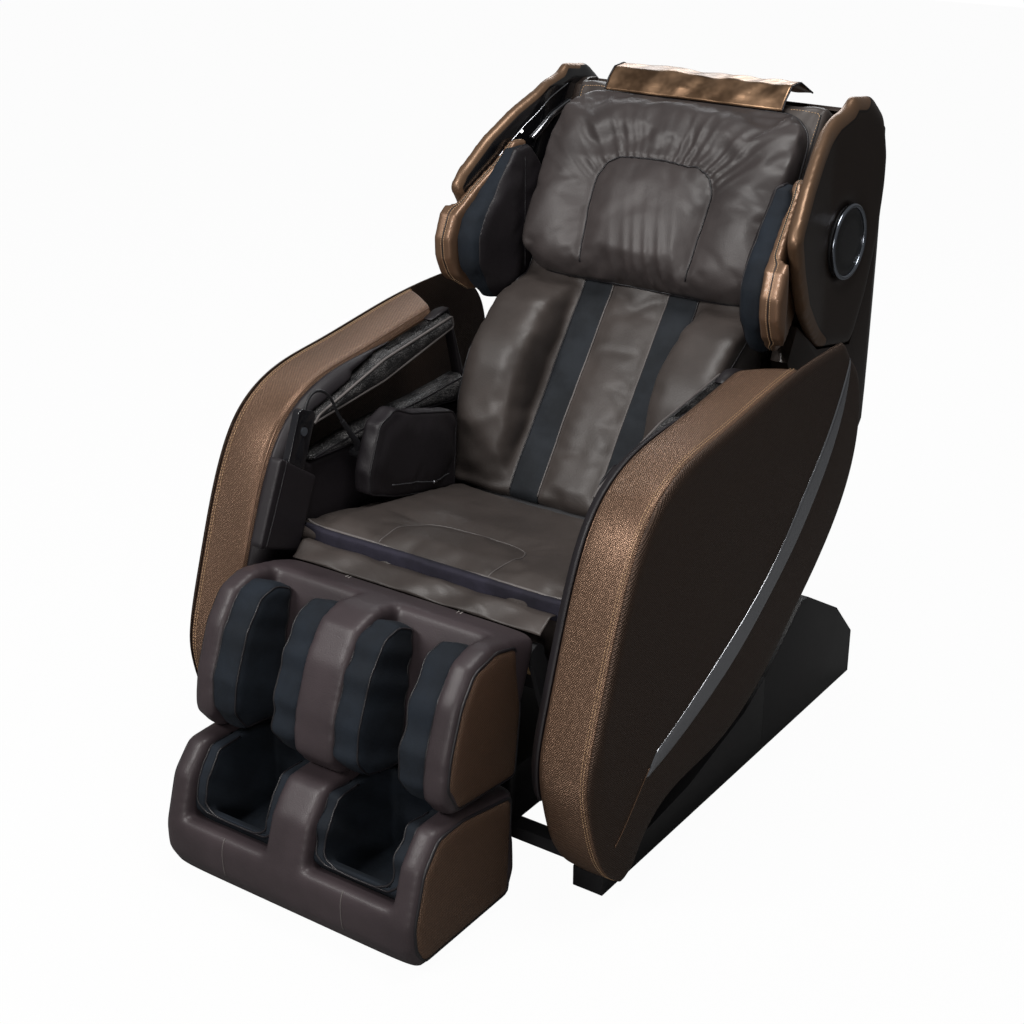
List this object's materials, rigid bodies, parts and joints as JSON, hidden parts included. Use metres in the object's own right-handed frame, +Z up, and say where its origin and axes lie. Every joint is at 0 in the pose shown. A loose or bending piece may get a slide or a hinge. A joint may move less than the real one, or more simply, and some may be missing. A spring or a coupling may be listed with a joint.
{
  "type": "massage chair",
  "caption": "Full-body massage chair: padded arms and shoulder wings, reclining back with a roller carriage, tilting seat, and a lifting leg rest with an extending foot rest.",
  "frame": {"origin": "centre of the chair's footprint box, on the floor, with the back upright and the leg rest down", "axes": "+Z up, the sitter faces -Y, and the sitter's left hand is towards +X"},
  "size_m": [0.78, 1.359, 1.0568],
  "materials": {
    "steel_frame": "black powder coat",
    "base_plastic": "satin black",
    "rubber": "matt",
    "axle_steel": "bright",
    "plywood": "plain",
    "grey_leather": "soft grained leatherette",
    "bronze_leather": "metallic, fine embossed",
    "brown_panel": "satin, fine texture",
    "silver_trim": "polished",
    "black_leather": "soft",
    "airbag_fabric": "pebbled",
    "navy_fabric": "knitted",
    "black_gloss": "gloss",
    "cord_black": "matt",
    "speaker": "mesh in a bright ring",
    "shell_plastic": "satin"
  },
  "bodies": {
    "base": {"base_frame": "steel_frame", "skid_covers": "base_plastic", "rear_housings": "base_plastic", "wheel_axles": "axle_steel", "rubber_feet": "rubber", "control_box": "base_plastic", "power_inlet": "black_gloss"},
    "tilt_motor": {"tilt_motor": "base_plastic"},
    "tilt_rod": {"tilt_rod": "axle_steel"},
    "back_rod": {"back_rod": "axle_steel"},
    "leg_motor": {"leg_motor": "base_plastic"},
    "leg_rod": {"leg_rod": "axle_steel"},
    "transport_wheel_left": {"transport_wheel_left": "rubber"},
    "transport_wheel_right": {"transport_wheel_right": "rubber"},
    "power_switch": {"power_switch": "black_gloss"},
    "seat": {"seat_frame": "steel_frame", "seat_pan": "plywood", "back_motor": "base_plastic", "seat_cushion": "grey_leather", "seat_apron": "grey_leather", "arm_side_panel_left": "brown_panel", "arm_side_panel_right": "brown_panel", "arm_band_left": "bronze_leather", "arm_band_right": "bronze_leather", "arm_inner_panel_left": "black_leather", "arm_inner_panel_right": "black_leather", "forearm_airbags_left": "airbag_fabric", "forearm_airbags_right": "airbag_fabric", "arm_trims": "silver_trim", "handset": "black_gloss", "handset_pocket": "black_leather", "handset_cord": "cord_black", "cord_sleeve": "cord_black", "hip_pad_left": "black_leather", "hip_pad_right": "black_leather"},
    "handset_button": {"handset_button": "silver_trim"},
    "back": {"back_frame": "steel_frame", "back_shell": "shell_plastic", "back_cushion": "grey_leather", "pillow": "grey_leather", "pillow_flap": "bronze_leather", "wing_left": "brown_panel", "wing_right": "brown_panel", "speakers": "speaker", "shoulder_rim_left": "bronze_leather", "shoulder_rim_right": "bronze_leather", "shoulder_cushion_left": "black_leather", "shoulder_cushion_right": "black_leather", "guide_rails": "steel_frame", "air_pump": "base_plastic"},
    "carriage": {"roller_carriage": "steel_frame"},
    "lower_rollers": {"lower_rollers": "rubber"},
    "upper_rollers": {"upper_rollers": "rubber"},
    "calf": {"calf_shell": "grey_leather", "calf_side_panels": "bronze_leather", "calf_airbags": "navy_fabric"},
    "foot": {"foot_shell": "grey_leather", "foot_side_panels": "bronze_leather", "foot_liner_left": "navy_fabric", "foot_liner_right": "navy_fabric"}
  },
  "joints": [
    {"name": "seat_tilt", "type": "hinge", "parent": "base", "child": "seat", "pos_m": [0, 0.2315, 0.12], "axis": [-1, 0, 0], "range_deg": [0, 18]},
    {"name": "back_recline", "type": "hinge", "parent": "seat", "child": "back", "pos_m": [0, 0.0615, 0.38], "axis": [-1, 0, 0], "range_deg": [0, 32]},
    {"name": "leg_lift", "type": "hinge", "parent": "seat", "child": "calf", "pos_m": [0, -0.3635, 0.375], "axis": [-1, 0, 0], "range_deg": [0, 73], "deforming": ["seat_apron"]},
    {"name": "foot_extend", "type": "slide", "parent": "calf", "child": "foot", "axis": [0, -0.2924, -0.9563], "range_m": [0, 0.12]},
    {"name": "carriage_travel", "type": "slide", "parent": "back", "child": "carriage", "axis": [0, 0.4848, 0.8746], "range_m": [-0.05, 0.37]},
    {"name": "lower_roller_spin", "type": "hinge", "parent": "carriage", "child": "lower_rollers", "pos_m": [0, 0.22649, 0.46005], "axis": [1, 0, 0], "continuous": true},
    {"name": "upper_roller_spin", "type": "hinge", "parent": "carriage", "child": "upper_rollers", "pos_m": [0, 0.30406, 0.59998], "axis": [1, 0, 0], "continuous": true},
    {"name": "wheel_spin_left", "type": "hinge", "parent": "base", "child": "transport_wheel_left", "pos_m": [0.319, 0.447, 0.03], "axis": [1, 0, 0], "continuous": true},
    {"name": "wheel_spin_right", "type": "hinge", "parent": "base", "child": "transport_wheel_right", "pos_m": [-0.319, 0.447, 0.03], "axis": [1, 0, 0], "continuous": true},
    {"name": "power_rocker", "type": "hinge", "parent": "base", "child": "power_switch", "pos_m": [-0.105, 0.143, 0.092], "axis": [1, 0, 0], "range_deg": [-9, 0]},
    {"name": "handset_button_press", "type": "slide", "parent": "seat", "child": "handset_button", "axis": [-1, 0, 0], "range_m": [0, 0.0012], "stiffness_N_per_m": 500, "springref_m": -0.0004},
    {"name": "tilt_motor_swing", "type": "hinge", "parent": "base", "child": "tilt_motor", "pos_m": [0, 0.1, 0.062], "axis": [-1, 0, 0], "range_deg": [0, 21.48]},
    {"name": "tilt_rod_slide", "type": "slide", "parent": "tilt_motor", "child": "tilt_rod", "axis": [0, -0.902, 0.4317], "range_m": [0, 0.03935]},
    {"name": "back_rod_slide", "type": "slide", "parent": "seat", "child": "back_rod", "axis": [0, 0.9612, 0.2758], "range_m": [-0.04331, 0]},
    {"name": "leg_motor_swing", "type": "hinge", "parent": "seat", "child": "leg_motor", "pos_m": [0, -0.0335, 0.095], "axis": [-1, 0, 0], "range_deg": [-2.63, 0]},
    {"name": "leg_rod_slide", "type": "slide", "parent": "leg_motor", "child": "leg_rod", "axis": [0, -0.8501, 0.5265], "range_m": [0, 0.1076]}
  ],
  "couplings": [
    {"joint": "tilt_motor_swing", "follows": "seat_tilt", "ratio": 1.1813},
    {"joint": "tilt_rod_slide", "follows": "seat_tilt", "m_per_rad": 0.12402},
    {"joint": "back_rod_slide", "follows": "back_recline", "m_per_rad": -0.076783},
    {"joint": "leg_motor_swing", "follows": "leg_lift", "ratio": -0.035616},
    {"joint": "leg_rod_slide", "follows": "leg_lift", "m_per_rad": 0.083617},
    {"joint": "foot_extend", "follows": "leg_lift", "m_per_rad": 0.094}
  ]
}
